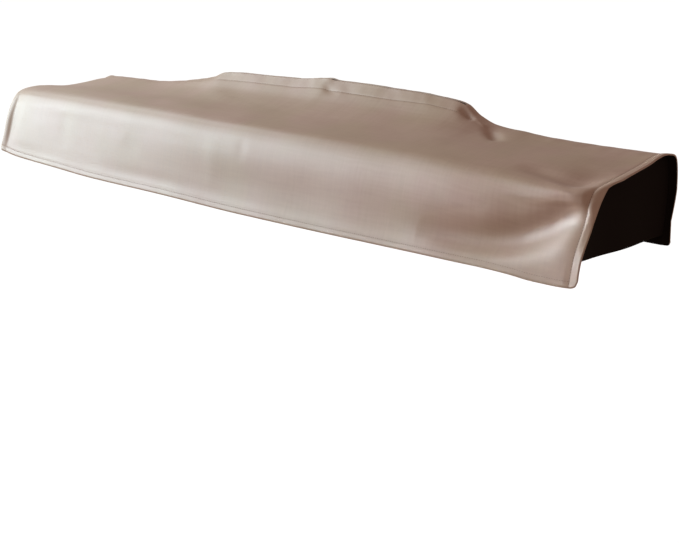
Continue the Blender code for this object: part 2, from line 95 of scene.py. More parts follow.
# Front drop and its turn into the top, from left to right
# x, then y and z of the hem, the shin, the knee, the chest, the collar and the brow
FRONT_SECTIONS = (
    (-0.650, -0.005, 0.026, -0.001, 0.042, 0.004, 0.060, 0.017, 0.096, 0.033, 0.122, 0.047, 0.137),
    (-0.600, -0.008, 0.020, -0.002, 0.037, 0.003, 0.055, 0.018, 0.100, 0.030, 0.127, 0.043, 0.1410),
    (-0.500, -0.009, 0.015, -0.002, 0.033, 0.004, 0.053, 0.019, 0.102, 0.029, 0.129, 0.043, 0.1430),
    (-0.380, -0.009, 0.009, -0.001, 0.030, 0.005, 0.052, 0.019, 0.102, 0.029, 0.130, 0.043, 0.1435),
    (-0.200, -0.008, 0.006, 0.001, 0.027, 0.006, 0.050, 0.018, 0.102, 0.029, 0.130, 0.043, 0.1430),
    (0.000, -0.008, 0.001, 0.001, 0.023, 0.007, 0.047, 0.017, 0.101, 0.029, 0.129, 0.043, 0.1425),
    (0.200, -0.008, 0.000, 0.001, 0.022, 0.007, 0.046, 0.017, 0.100, 0.029, 0.128, 0.043, 0.1415),
    (0.330, -0.007, 0.000, 0.002, 0.019, 0.008, 0.039, 0.017, 0.095, 0.029, 0.126, 0.043, 0.1400),
    (0.400, -0.007, 0.000, 0.001, 0.018, 0.010, 0.036, 0.017, 0.090, 0.029, 0.124, 0.042, 0.1370),
    (0.470, -0.006, 0.000, 0.003, 0.020, 0.014, 0.040, 0.021, 0.084, 0.031, 0.119, 0.042, 0.1325),
    (0.530, -0.005, -0.002, 0.005, 0.024, 0.023, 0.052, 0.030, 0.088, 0.0325, 0.1145, 0.040, 0.1280),
    (0.580, -0.005, -0.005, 0.008, 0.034, 0.031, 0.076, 0.034, 0.098, 0.0320, 0.1125, 0.0370, 0.1255),
    (0.610, -0.005, -0.005, 0.009, 0.040, 0.032, 0.081, 0.0355, 0.099, 0.0325, 0.1130, 0.0385, 0.1258),
    (0.625, -0.005, -0.0045, 0.009, 0.040, 0.032, 0.080, 0.0360, 0.099, 0.0350, 0.1130, 0.0430, 0.1262),
    (0.637, -0.004, -0.004, 0.009, 0.039, 0.032, 0.078, 0.0390, 0.098, 0.0420, 0.1120, 0.0570, 0.1270),
    (0.650, -0.004, 0.000, 0.007, 0.037, 0.034, 0.074, 0.047, 0.092, 0.060, 0.110, 0.080, 0.127),
)

# Top, from left to right
# x, then the height behind the brow, at mid depth, at the rise, at the lip's foot and at the crest
TOP_SECTIONS = (
    (-0.650, 0.1440, 0.1360, 0.1355, 0.1362, 0.1370),
    (-0.600, 0.1460, 0.1405, 0.1420, 0.1440, 0.1455),
    (-0.550, 0.1475, 0.1440, 0.1455, 0.1475, 0.1493),
    (-0.480, 0.1485, 0.1455, 0.1470, 0.1492, 0.1508),
    (-0.430, 0.1490, 0.1470, 0.1500, 0.1535, 0.1548),
    (-0.343, 0.1490, 0.1500, 0.1570, 0.1650, 0.1678),
    (-0.300, 0.1490, 0.1510, 0.1600, 0.1710, 0.1768),
    (-0.267, 0.1490, 0.1515, 0.1620, 0.1760, 0.1885),
    (-0.155, 0.1485, 0.1525, 0.1650, 0.1795, 0.1922),
    (-0.080, 0.1480, 0.1530, 0.1662, 0.1812, 0.1950),
    (-0.033, 0.1475, 0.1530, 0.1675, 0.1850, 0.2004),
    (-0.014, 0.1475, 0.1530, 0.1680, 0.1858, 0.2020),
    (0.005, 0.1475, 0.1530, 0.1675, 0.1842, 0.1999),
    (0.080, 0.1475, 0.1530, 0.1672, 0.1828, 0.1996),
    (0.150, 0.1475, 0.1530, 0.1668, 0.1822, 0.1977),
    (0.212, 0.1475, 0.1525, 0.1660, 0.1832, 0.1966),
    (0.264, 0.1475, 0.1525, 0.1638, 0.1792, 0.1918),
    (0.286, 0.1475, 0.1520, 0.1612, 0.1757, 0.1865),
    (0.310, 0.1470, 0.1510, 0.1575, 0.1665, 0.1705),
    (0.340, 0.1460, 0.1490, 0.1525, 0.1570, 0.1588),
    (0.393, 0.1440, 0.1465, 0.1490, 0.1520, 0.1538),
    (0.453, 0.1415, 0.1450, 0.1465, 0.1480, 0.1495),
    (0.540, 0.1365, 0.1430, 0.1450, 0.1470, 0.1485),
    (0.590, 0.1345, 0.1400, 0.1440, 0.1470, 0.1485),
    (0.620, 0.1345, 0.1390, 0.1435, 0.1475, 0.1490),
    (0.650, 0.1345, 0.1385, 0.1435, 0.1485, 0.1500),
)

# Folds: face, start x and a, middle x and a, end x and a, half width on the side of more a and on
# the side of less a where the fold runs to the right, rise
# a is the height on the front drop and the depth on the top; a negative rise is a trough
FOLDS = (
    ("front", 0.360, 0.040, 0.572, 0.010, 0.646, 0.136, 0.023, 0.021, -0.0125),
    ("front", 0.618, 0.128, 0.622, 0.080, 0.618, 0.015, 0.012, 0.018, 0.0015),
    ("front", -0.618, 0.125, -0.628, 0.085, -0.630, 0.040, 0.012, 0.012, -0.0010),
    ("front", -0.488, 0.120, -0.478, 0.085, -0.465, 0.050, 0.016, 0.016, -0.0006),
    ("front", -0.310, 0.095, -0.290, 0.080, -0.262, 0.072, 0.014, 0.016, -0.0005),
    ("front", -0.099, 0.128, -0.085, 0.080, -0.074, 0.030, 0.020, 0.014, 0.0006),
    ("front", -0.024, 0.128, -0.018, 0.110, -0.016, 0.085, 0.011, 0.011, -0.0005),
    ("top", 0.490, 0.092, 0.565, 0.070, 0.640, 0.080, 0.014, 0.016, -0.0048),
    ("top", 0.588, 0.045, 0.608, 0.085, 0.618, 0.145, 0.028, 0.020, -0.0060),
    ("top", 0.280, 0.240, 0.298, 0.239, 0.314, 0.236, 0.005, 0.008, -0.0070),
    ("top", 0.336, 0.242, 0.360, 0.218, 0.392, 0.182, 0.013, 0.010, -0.0085),
    ("top", 0.300, 0.2445, 0.316, 0.2390, 0.346, 0.2290, 0.003, 0.003, 0.0016),
    ("top", -0.315, 0.240, -0.250, 0.200, -0.170, 0.150, 0.025, 0.025, 0.0020),
    ("top", -0.016, 0.245, -0.006, 0.228, 0.030, 0.229, 0.005, 0.006, -0.0016),
)

# Each fold has this many points on its path, and reaches this many half widths from it
FOLD_POINTS = 25
FOLD_REACH = 3.0

# The front's folds fade out over this many rows on each side of the brow
FOLD_FADE_ROWS = 4

# How far each end leans out past the cover's length at some feature lines: line, left, right
END_FLARES = (
    ("hem", 0.0042, -0.0020),
    ("knee", -0.0020, -0.0020),
    ("collar", -0.0012, 0.0000),
    ("front", 0.0000, 0.0000),
    ("back_brow", -0.0060, 0.0015),
    ("back_chest", 0.0000, 0.0010),
    ("back_knee", 0.0000, -0.0030),
    ("back_hem", 0.0010, 0.0010),
)
END_FLARE_REACH = 0.060

# How far the end hems stand out of the cloth at some feature lines: line, left, right
END_ROLLS = (
    ("hem", 0.0016, 0.0000),
    ("knee", 0.0029, 0.0012),
    ("collar", 0.0032, 0.0066),
    ("brow", 0.0005, 0.0056),
    ("front", -0.0010, 0.0018),
    ("crest", -0.0010, 0.0012),
    ("back_brow", 0.0010, 0.0020),
    ("back_hem", 0.0010, 0.0030),
)

# A roll's turn as a share of half a turn, and the groove beside it: its depth as a share of the roll's
# height, and its half width as a share of the hem's width
ROLL_TURN = 0.55
ROLL_GROOVE = 0.06
ROLL_GROOVE_WIDTH = 0.3

# Slow unevenness of loose cloth: its waves for each metre, and how far it moves
SLACK_WAVES = 9.0
SLACK_RISE = 0.0009

# Flutes of the front drop: waves for each metre, rise, the height where they end, and their noise's slice
FLUTE_WAVES = 11.0
FLUTE_RISE = 0.0007
FLUTE_TOP = 0.11
FLUTE_SLICE = (0.3, 0.7)

# Puckers beside the seams: their waves for each metre, how far they rise, how far they slant, how long
# they are drawn out, and their noise's slice
PUCKER_WAVES = 42.0
PUCKER_RISE = 0.0011
PUCKER_SLANT = 0.7
PUCKER_STRETCH = 0.4
PUCKER_SLICE = 2.3

# The share of the puckers' rise at some feature lines
PUCKER_SHARES = (
    ("hem", 0.30),
    ("shin", 0.10),
    ("knee", 0.00),
    ("rise", 0.00),
    ("before_foot", 0.45),
    ("lip_top", 1.00),
    ("back_foot", 0.70),
    ("back_brow", 0.00),
    ("back_knee", 0.00),
    ("back_hem", 0.30),
)

# The section's feature lines, from the front hem to the back hem, and the rows up to each next one
LINES = (
    "hem", "hem_seam", "shin", "knee", "chest", "collar", "brow", "front", "mid", "rise", "before_foot",
    "foot", "band", "lip_top", "crest", "back_lip", "back_foot", "back_brow", "back_chest", "back_knee",
    "back_seam", "back_hem",
)
ROWS_BETWEEN = (3, 4, 6, 12, 9, 9, 11, 13, 9, 8, 2, 2, 4, 2, 1, 3, 8, 10, 8, 6, 3)

# Columns of the cloth's grid: where each stretch starts, and the pitch of its columns
COLUMN_STRETCHES = (
    (-0.650, 0.0028),
    (-0.636, 0.0030),
    (-0.624, 0.0040),
    (SLOT_LEFT, 0.0038),
    (SLOT_RIGHT, 0.0037),
    (0.624, 0.0020),
    (0.636, 0.0020),
    (0.650, 0.0),
)

# End panels
END_INSET = 0.0112
END_HEM_FRONT = 0.031
END_HEM_BACK = 0.011
END_HEM_SAG = 0.004
END_HEM_ROWS = 5
END_BULGE = 0.0050
END_CREASE = 0.0025
END_CREASE_WAVES = (2.6, 0.7)
END_ROWS = 48
END_COLUMNS = 90

# Where an end panel's clearance to the main panel is measured, in hem thicknesses inside its face
CLEARANCE_STEPS = (-0.5, 0.5, 1.0, 1.5)

# Camera, solved from the outline of the cover
CAMERA_PLACE = (1.5083, -1.7648, 0.4541)
CAMERA_TURN = (72.667, 0.0, 38.736)
SENSOR = 36.0
LENS = 70.172

# Floor, well below the cover
FLOOR_HEIGHT = -0.735
FLOOR_SIZE = 60.0

# Lights: name, compass angle (0 is the front, 90 the right), height angle, distance, size, watts,
# colour, the x on the cover that it is aimed at, and spread
LIGHTS = (
    ("key", -60.0, 17.0, 3.4, 2.0, 128.0, (0.78, 0.93, 1.00), 0.00, 180.0),
    ("over", -95.0, 40.0, 2.0, 0.8, 9.0, (0.80, 0.95, 1.00), 0.00, 180.0),
    ("side", -62.0, 3.0, 2.8, 0.3, 0.16, (0.90, 0.90, 0.95), 0.98, 13.0),
    ("back", 178.0, -3.0, 3.4, 1.6, 12.0, (1.00, 0.86, 0.76), 0.00, 180.0),
)

# The surround's light on the cover
FILL = 0.32
FILL_COLOUR = (1.0, 0.68, 0.56, 1.0)

# Patterns of the cloth, in repeats for each metre of it: slubs of yarn about 5 mm wide and 60 mm long,
# patches of shade and of tint 80 to 90 mm wide, and a grain of 1.4 mm, drawn coarser than the cloth's
# own weave of about 0.5 mm, which would be finer than a pixel
SLUBS_ACROSS = 190.0
SLUBS_ALONG = 16.0
SHADE_PATCHES = 13.0
TINT_PATCHES = 11.0
TINT_START = (0.07, 0.05, 0.0)
GRAIN = 700.0


def linear(hex_colour):
    """An sRGB hex colour as linear RGBA."""
    parts = [int(hex_colour[i:i + 2], 16) / 255.0 for i in (1, 3, 5)]
    return tuple(c / 12.92 if c <= 0.04045 else ((c + 0.055) / 1.055) ** 2.4 for c in parts) + (1.0,)


CLOTH_DARK = linear("#A58E77")
CLOTH_LIGHT = linear("#B39D85")
ROSY_DARK = linear("#A98D7B")
ROSY_LIGHT = linear("#B69C8A")


def node(tree, kind, inputs=None, **settings):
    """Add a node with its settings, and set or link its inputs."""
    made = tree.nodes.new(kind)
    for name, value in settings.items():
        setattr(made, name, value)
    for name, value in (inputs or {}).items():
        if isinstance(value, bpy.types.NodeSocket):
            tree.links.new(value, made.inputs[name])
        else:
            made.inputs[name].default_value = value
    return made


def in_scene(name, data):
    """A new object of a mesh, light or camera, in the scene."""
    obj = bpy.data.objects.new(name, data)
    bpy.context.scene.collection.objects.link(obj)
    return obj


def mesh_of(name, bm, materials):
    """The finished mesh of a bmesh, with its materials."""
    mesh = bpy.data.meshes.new(name)
    bm.to_mesh(mesh)
    bm.free()
    for material in materials:
        mesh.materials.append(material)
    return mesh


def new_material(name):
    """A material, its node tree and its shader."""
    material = bpy.data.materials.new(name)
    material.use_nodes = True
    tree = material.node_tree
    return material, tree, tree.nodes["Principled BSDF"]


def along(table, xs):
    """The table's columns at each x, on a smooth curve that never overshoots its rows."""
    rows = np.array(table, dtype=float)
    knots = rows[:, 0]
    values = rows[:, 1:]
    step = np.diff(knots)[:, None]
    slope = np.diff(values, axis=0) / step
    tangent = np.zeros_like(values)
    same_way = slope[:-1] * slope[1:] > 0.0
    product = np.where(same_way, slope[:-1] * slope[1:], 1.0)
    total = np.where(same_way, slope[:-1] + slope[1:], 1.0)
    tangent[1:-1] = np.where(same_way, 2.0 * product / total, 0.0)
    tangent[0] = slope[0]
    tangent[-1] = slope[-1]
    xs = np.clip(xs, knots[0], knots[-1])
    k = np.clip(np.searchsorted(knots, xs, side="right") - 1, 0, len(knots) - 2)
    h = (knots[k + 1] - knots[k])[:, None]
    t = ((xs - knots[k]) / (knots[k + 1] - knots[k]))[:, None]
    start = (2 * t**3 - 3 * t**2 + 1) * values[k] + (t**3 - 2 * t**2 + t) * h * tangent[k]
    end = (3 * t**2 - 2 * t**3) * values[k + 1] + (t**3 - t**2) * h * tangent[k + 1]
    return start + end


def feature_lines(xs):
    """The sections' feature points (y, z) at each x, from the front hem to the back hem."""
    front = along(FRONT_SECTIONS, xs).reshape(len(xs), 6, 2)
    hem, shin, knee, chest, collar, brow = (front[:, i] for i in range(6))
    front_z, mid_z, rise_z, foot_z, crest_z = along(TOP_SECTIONS, xs).T
    wave = BACK_WAVE * np.sin(2.0 * np.pi * (xs - BACK_WAVE_START) / BACK_WAVE_LENGTH)
    level = np.ones_like(xs)
    up = (shin - hem) / np.linalg.norm(shin - hem, axis=1)[:, None]
    back_knee = np.stack((BACK_KNEE[0] + KNEE_WAVE_SHARE * wave, BACK_KNEE[1] * level), axis=1)
    back_hem = np.stack((BACK_HEM[0] + wave, BACK_HEM[1] + HEM_LIFT_SHARE * wave), axis=1)
    back_up = (back_knee - back_hem) / np.linalg.norm(back_knee - back_hem, axis=1)[:, None]
    back_foot_z = BACK_BROW[1] + BACK_LIP_SLOPE * (crest_z - BACK_BROW[1])
    rise = np.stack((RISE_DEPTH * level, rise_z), axis=1)
    foot = np.stack((LIP_FOOT_DEPTH * level, foot_z), axis=1)
    crest = np.stack((LIP_FRONT_DEPTH * level, crest_z), axis=1)
    into = (foot - rise) / np.linalg.norm(foot - rise, axis=1)[:, None]
    out = (crest - foot) / np.linalg.norm(crest - foot, axis=1)[:, None]
    lines = (
        hem,
        hem + HEM_WIDTH * up,
        shin,
        knee,
        chest,
        collar,
        brow,
        np.stack((brow[:, 0] + TOP_FRONT_RUN, front_z), axis=1),
        np.stack((TOP_MID_DEPTH * level, mid_z), axis=1),
        rise,
        foot - LIP_TURN * into,
        foot,
        foot + LIP_TURN * out,
        crest - LIP_TURN * out,
        crest,
        np.stack((LIP_BACK_DEPTH * level, crest_z - LIP_BACK_DROP), axis=1),
        np.stack((LIP_BACK_FOOT_DEPTH * level, back_foot_z), axis=1),
        np.stack((BACK_BROW[0] * level, BACK_BROW[1] * level), axis=1),
        np.stack((BACK_CHEST[0] * level, BACK_CHEST[1] * level), axis=1),
        back_knee,
        back_hem + HEM_WIDTH * back_up,
        back_hem,
    )
    return np.stack(lines, axis=1)


def base_sections(xs):
    """The base sections: place and outward normal (y, z) of every column and row, before any fold."""
    points = feature_lines(xs)
    chord = np.linalg.norm(np.diff(points, axis=1), axis=2)
    steps = np.sqrt(chord)
    knots = np.concatenate((np.zeros((len(xs), 1)), np.cumsum(steps, axis=1)), axis=1)[:, :, None]
    tangent = np.zeros_like(points)
    before = (points[:, 1:-1] - points[:, :-2]) / (knots[:, 1:-1] - knots[:, :-2])
    after = (points[:, 2:] - points[:, 1:-1]) / (knots[:, 2:] - knots[:, 1:-1])
    mix = (knots[:, 1:-1] - knots[:, :-2]) / (knots[:, 2:] - knots[:, :-2])
    tangent[:, 1:-1] = (1.0 - mix) * before + mix * after
    tangent[:, 0] = before[:, 0]
    tangent[:, -1] = after[:, -1]
    place = []
    heading = []
    for i, count in enumerate(ROWS_BETWEEN):
        h = knots[:, i + 1] - knots[:, i]
        last = 1 if i == len(ROWS_BETWEEN) - 1 else 0
        for j in range(count + last):
            t = j / count
            start = (2 * t**3 - 3 * t**2 + 1) * points[:, i] + (t**3 - 2 * t**2 + t) * h * tangent[:, i]
            end = (3 * t**2 - 2 * t**3) * points[:, i + 1] + (t**3 - t**2) * h * tangent[:, i + 1]
            turn = (6 * t**2 - 6 * t) * (points[:, i] - points[:, i + 1]) / h
            turn = turn + (3 * t**2 - 4 * t + 1) * tangent[:, i] + (3 * t**2 - 2 * t) * tangent[:, i + 1]
            place.append(start + end)
            heading.append(turn / np.linalg.norm(turn, axis=1)[:, None])
    place = np.stack(place, axis=1)
    heading = np.stack(heading, axis=1)
    normal = np.stack((-heading[:, :, 1], heading[:, :, 0]), axis=2)
    return place, normal


def line_row(line):
    """The grid row of a feature line."""
    return sum(ROWS_BETWEEN[:LINES.index(line)])


def nearest_on_path(path, x, a):
    """For each point its distance to the path, how far along the path that is, and if it's to the left."""
    start = path[:-1]
    leg = path[1:] - start
    length = np.sum(leg**2, axis=1)
    off_x = x[:, None] - start[:, 0]
    off_a = a[:, None] - start[:, 1]
    part = np.clip((off_x * leg[:, 0] + off_a * leg[:, 1]) / length, 0.0, 1.0)
    away = np.hypot(off_x - part * leg[:, 0], off_a - part * leg[:, 1])
    left = leg[:, 0] * off_a - leg[:, 1] * off_x > 0.0
    nearest = np.argmin(away, axis=1)
    picked = np.arange(len(x))
    return away[picked, nearest], (nearest + part[picked, nearest]) / len(leg), left[picked, nearest]


def fold_rise(face, x, a):
    """How far the folds lift the cloth off its base section at x and a."""
    rise = np.zeros_like(x)
    for kind, x0, a0, xm, am, x1, a1, width_left, width_right, height in FOLDS:
        if kind != face:
            continue
        t = np.linspace(0.0, 1.0, FOLD_POINTS)
        path_x = (1 - t) ** 2 * x0 + 2 * t * (1 - t) * xm + t**2 * x1
        path_a = (1 - t) ** 2 * a0 + 2 * t * (1 - t) * am + t**2 * a1
        reach = FOLD_REACH * max(width_left, width_right)
        near = (x > path_x.min() - reach) & (x < path_x.max() + reach)
        near &= (a > path_a.min() - reach) & (a < path_a.max() + reach)
        away, share, left = nearest_on_path(np.stack((path_x, path_a), axis=1), x[near], a[near])
        half_width = np.where(left, width_left, width_right)
        fade = np.sin(np.pi * share)
        rise[near] += height * fade * np.exp(-((away / half_width) ** 2))
    return rise


def grid_columns():
    """The x of each column of the main panel's grid."""
    xs = []
    for (start, pitch), (end, _) in zip(COLUMN_STRETCHES[:-1], COLUMN_STRETCHES[1:]):
        count = max(1, round((end - start) / pitch))
        xs.extend(start + (end - start) * j / count for j in range(count))
    xs.append(COLUMN_STRETCHES[-1][0])
    return np.array(xs)


def slack(x, y, z):
    """The slow unevenness of loose cloth, and the flutes of the front drop, deeper to its hem."""
    waves = np.zeros_like(x)
    flutes = np.zeros_like(x)
    for i in np.ndindex(x.shape):
        waves[i] = noise.noise(Vector((SLACK_WAVES * x[i], SLACK_WAVES * y[i], SLACK_WAVES * z[i])))
        flutes[i] = noise.noise(Vector((FLUTE_WAVES * x[i], *FLUTE_SLICE)))
    return SLACK_RISE * waves + FLUTE_RISE * flutes * np.clip(1.0 - z / FLUTE_TOP, 0.0, 1.0)


def puckers(x, y, z, rows):
    """Small slanting wrinkles that the seams pull into the cloth beside them."""
    lines = [line_row(line) for line, _ in PUCKER_SHARES]
    share = np.interp(rows, lines, [share for _, share in PUCKER_SHARES])
    rise = np.zeros_like(x)
    for i in np.ndindex(x.shape):
        if share[i[1]] > 0.0:
            along_seam = PUCKER_WAVES * (x[i] + PUCKER_SLANT * z[i])
            off_seam = PUCKER_STRETCH * PUCKER_WAVES * (y[i] + z[i])
            rise[i] = share[i[1]] * noise.noise(Vector((along_seam, off_seam, PUCKER_SLICE)))
    return PUCKER_RISE * rise


def end_lift(x, rows):
    """The end hems' roll out of the cloth, with the groove of their seam beside it."""
    lines = [line_row(line) for line, _, _ in END_ROLLS]
    left = np.interp(rows, lines, [left for _, left, _ in END_ROLLS])
    right = np.interp(rows, lines, [right for _, _, right in END_ROLLS])
    height = np.where(x < 0.0, left[None, :], right[None, :])
    inside = (COVER_LENGTH / 2 - np.abs(x)) / END_HEM_WIDTH
    groove = np.exp(-((inside - 1.0) / ROLL_GROOVE_WIDTH) ** 2)
    dome = np.sin(ROLL_TURN * np.pi * np.clip(1.0 - inside, 0.0, 1.0))
    return height * (dome - ROLL_GROOVE * groove)


def draped_sections(xs):
    """The outer face's rows (y, z) at each x, with the folds and the drawn-in stitching."""
    place, normal = base_sections(xs)
    rows = np.arange(place.shape[1])
    x = np.broadcast_to(xs[:, None], place.shape[:2])
    brow_row = line_row("brow")
    crest_row = line_row("crest")
    fade = np.clip((brow_row + FOLD_FADE_ROWS - rows) / (2.0 * FOLD_FADE_ROWS), 0.0, 1.0)
    front = fold_rise("front", x, place[:, :, 1]) * fade
    on_top = (rows >= brow_row) & (rows < crest_row)
    top = np.where(on_top[None, :], fold_rise("top", x, place[:, :, 0]), 0.0)
    drawn = (rows == line_row("hem_seam")) | (rows == line_row("back_seam"))
    drawn = drawn[None, :] | (np.abs(x - COVER_LENGTH / 2 + END_HEM_WIDTH) < TINY)
    drawn = drawn | ((rows[None, :] == line_row("foot")) & (x > SLOT_LEFT) & (x < SLOT_RIGHT))
    loose = slack(x, place[:, :, 0], place[:, :, 1]) + puckers(x, place[:, :, 0], place[:, :, 1], rows)
    rise = front + top + loose + end_lift(x, rows) - STITCH_DRAW * drawn
    return place + rise[:, :, None] * normal


def end_flare(xs, rows):
    """How far the ends' flare moves each point of the cloth along the cover."""
    lines = [line_row(line) for line, _, _ in END_FLARES]
    left = np.interp(rows, lines, [left for _, left, _ in END_FLARES])
    right = np.interp(rows, lines, [right for _, _, right in END_FLARES])
    reach = np.maximum(0.0, (np.abs(xs) - COVER_LENGTH / 2 + END_FLARE_REACH) / END_FLARE_REACH)
    return np.where(xs[:, None] < 0.0, -left[None, :], right[None, :]) * (reach**2)[:, None]


def in_frame(x, y, z):
    """From section measures to the part's own frame."""
    return np.stack((x, y - MID_DEPTH, z - TOP_HEIGHT), axis=-1)


def cloth_grid(columns, rows):
    """A flat grid whose vertices carry their column and row as x and y."""
    bm = bmesh.new()
    bmesh.ops.create_grid(bm, x_segments=columns, y_segments=rows, size=0.5)
    for v in bm.verts:
        v.co.x = round((v.co.x + 0.5) * columns)
        v.co.y = round((v.co.y + 0.5) * rows)
    return bm


def sewn_sheet(name, bm, place, hem, materials, facing):
    """Lay the grid on its places, give it a cloth map in metres, and close it by Solidify.

    place holds a point for every column and row, hem how much of the hem's thickness each has, and
    facing is the axis and sign that the outer side mostly faces.
    """
    bm.verts.ensure_lookup_table()
    where = [(int(v.co.x), int(v.co.y)) for v in bm.verts]
    across = np.zeros(place.shape[:2])
    across[1:] = np.cumsum(np.linalg.norm(np.diff(place, axis=0), axis=2), axis=0)
    down = np.zeros(place.shape[:2])
    down[:, 1:] = np.cumsum(np.linalg.norm(np.diff(place, axis=1), axis=2), axis=1)
    middle = place.shape[1] // 2
    for v, (i, j) in zip(bm.verts, where):
        v.co = place[i, j]
    bmesh.ops.recalc_face_normals(bm, faces=bm.faces)
    axis, sign = facing
    if sign * sum(f.normal[axis] * f.calc_area() for f in bm.faces) < 0.0:
        bmesh.ops.reverse_faces(bm, faces=bm.faces)
    layer = bm.loops.layers.uv.new("cloth")
    for face in bm.faces:
        face.smooth = True
        for loop in face.loops:
            i, j = where[loop.vert.index]
            loop[layer].uv = (across[i, middle], down[i, j])
    obj = in_scene(name, mesh_of(name, bm, materials))
    group = obj.vertex_groups.new(name="hem")
    for v, (i, j) in enumerate(where):
        share = CLOTH + (HEM_CLOTH - CLOTH) * hem[i, j]
        group.add([v], share / HEM_CLOTH, "REPLACE")
    solid = obj.modifiers.new("cloth", "SOLIDIFY")
    solid.thickness = HEM_CLOTH
    solid.offset = -1.0
    solid.use_even_offset = True
    solid.vertex_group = "hem"
    # The inner face takes the last material, which is the painted shade on the main panel and the ends
    solid.material_offset = len(materials) - 1
    return obj


def round_corners(xs, place, edge, seam):
    """Round a drop's two lower corners, by drawing its hem up towards the hem's seam at the ends."""
    inside = (COVER_LENGTH / 2 - np.abs(xs)) / CORNER_RADIUS
    off = np.clip(1.0 - inside, 0.0, 1.0)
    lift = (1.0 - np.sqrt(1.0 - off**2)) * CORNER_RADIUS / HEM_WIDTH
    drawn_up = place[:, seam] - place[:, edge]
    step = 1 if seam > edge else -1
    for row in range(edge, seam, step):
        share = (seam - row) / (seam - edge)
        place[:, row] += drawn_up * (lift * share)[:, None]


def panel_surface():
    """Columns, places and hem shares of the main panel's outer face."""
    xs = grid_columns()
    sections = draped_sections(xs)
    rows = np.arange(sections.shape[1])
    x = xs[:, None] + end_flare(xs, rows)
    place = in_frame(x, sections[:, :, 0], sections[:, :, 1])
    round_corners(xs, place, 0, line_row("hem_seam"))
    round_corners(xs, place, len(rows) - 1, line_row("back_seam"))
    at_end = np.abs(xs) > COVER_LENGTH / 2 - END_HEM_WIDTH - TINY
    at_drop = (rows <= line_row("hem_seam")) | (rows >= line_row("back_seam"))
    beside_slot = (xs > SLOT_LEFT - LIP_HEM) & (xs < SLOT_RIGHT + LIP_HEM)
    lip = beside_slot[:, None] & ((rows >= line_row("band")) & (rows < line_row("back_foot")))[None, :]
    hem = (at_end[:, None] | at_drop[None, :] | lip).astype(float)
    return xs, place, hem


def panel_cloth_sheet(xs, place, hem, materials):
    """Front drop, top with its slot, and back drop, as one cloth."""
    bm = cloth_grid(place.shape[0] - 1, place.shape[1] - 1)
    slot_row = line_row("crest")
    in_slot = []
    for face in bm.faces:
        centre = face.calc_center_median()
        middle = np.interp(centre.x, range(len(xs)), xs)
        if slot_row < centre.y < slot_row + 1 and SLOT_LEFT < middle < SLOT_RIGHT:
            in_slot.append(face)
    bmesh.ops.delete(bm, geom=in_slot, context="FACES")
    return sewn_sheet("panel_cloth_sheet", bm, place, hem, materials, (2, 1))


def section_at(x):
    """The main panel's outer rows at x, as its grid has them once its ends are flared."""
    xs = grid_columns()
    xs = xs[np.abs(xs - x) < END_FLARE_REACH]
    place = draped_sections(xs)
    moved = xs[:, None] + end_flare(xs, np.arange(place.shape[1]))
    rows = [[np.interp(x, moved[:, i], place[:, i, k]) for k in (0, 1)] for i in range(place.shape[1])]
    return np.array(rows)


def inner_profile(side):
    """The line, just inside the main panel, that an end panel's edge follows."""
    outer_x = side * (COVER_LENGTH / 2 - END_INSET)
    near = section_at(outer_x)
    beside = [section_at(outer_x - side * share * HEM_CLOTH) for share in CLEARANCE_STEPS]
    tangent = np.gradient(near, axis=0)
    tangent = tangent / np.linalg.norm(tangent, axis=1)[:, None]
    normal = np.stack((-tangent[:, 1], tangent[:, 0]), axis=1)
    lower = np.sum((near - np.stack((near, *beside))) * normal, axis=2).max(axis=0)
    return near - (HEM_CLOTH + SEAM_GAP + lower)[:, None] * normal


def run_of(profile):
    """How far along a profile each of its points is."""
    return np.concatenate(((0.0,), np.cumsum(np.linalg.norm(np.diff(profile, axis=0), axis=1))))


def edge_between(profile, start, end, count):
    """Points evenly spaced along the profile from one place on it to another."""
    run = run_of(profile)
    where = np.linspace(start, end, count + 1)
    return np.stack((np.interp(where, run, profile[:, 0]), np.interp(where, run, profile[:, 1])), axis=1)


def side_hem_run(profile, height, first, last):
    """How far along the profile its stretch from one row to another passes a height."""
    heights = profile[first:last + 1, 1]
    runs = run_of(profile)[first:last + 1]
    order = np.argsort(heights)
    return float(np.interp(height, heights[order], runs[order]))


def end_cloth(name, side, materials):
    """An upright panel spanned between the drops and the top, with its own straight hem."""
    profile = inner_profile(side)
    run = run_of(profile)
    brow = run[line_row("brow")]
    back = run[line_row("back_brow")]
    low = side_hem_run(profile, END_HEM_FRONT, 0, line_row("brow"))
    high = side_hem_run(profile, END_HEM_BACK, line_row("back_brow"), len(profile) - 1)
    front_edge = edge_between(profile, low, brow, END_ROWS)
    back_edge = edge_between(profile, high, back, END_ROWS)
    top_edge = edge_between(profile, brow, back, END_COLUMNS)
    s = np.linspace(0.0, 1.0, END_COLUMNS + 1)[:, None, None]
    t = np.linspace(0.0, 1.0, END_ROWS + 1)[None, :, None]
    foot = (1.0 - s) * front_edge[0] + s * back_edge[0]
    foot = foot - np.array((0.0, END_HEM_SAG)) * 4.0 * s * (1.0 - s)
    spanned = (1.0 - t) * foot + t * top_edge[:, None] + (1.0 - s) * front_edge[None] + s * back_edge[None]
    corners = (1.0 - s) * (1.0 - t) * front_edge[0] + s * (1.0 - t) * back_edge[0]
    corners = corners + (1.0 - s) * t * front_edge[-1] + s * t * back_edge[-1]
    yz = spanned - corners
    looseness = np.sin(np.pi * s) * (1.0 - t)
    creases = np.sin(np.pi * (END_CREASE_WAVES[0] * s + END_CREASE_WAVES[1] * t))
    inward = END_BULGE * looseness + END_CREASE * looseness * creases
    x = side * (COVER_LENGTH / 2 - END_INSET - inward[:, :, 0])
    place = in_frame(x, yz[:, :, 0], yz[:, :, 1])
    hem = np.zeros(place.shape[:2])
    hem[:, :END_HEM_ROWS] = 1.0
    bm = cloth_grid(END_COLUMNS, END_ROWS)
    return sewn_sheet(name, bm, place, hem, materials, (0, side))


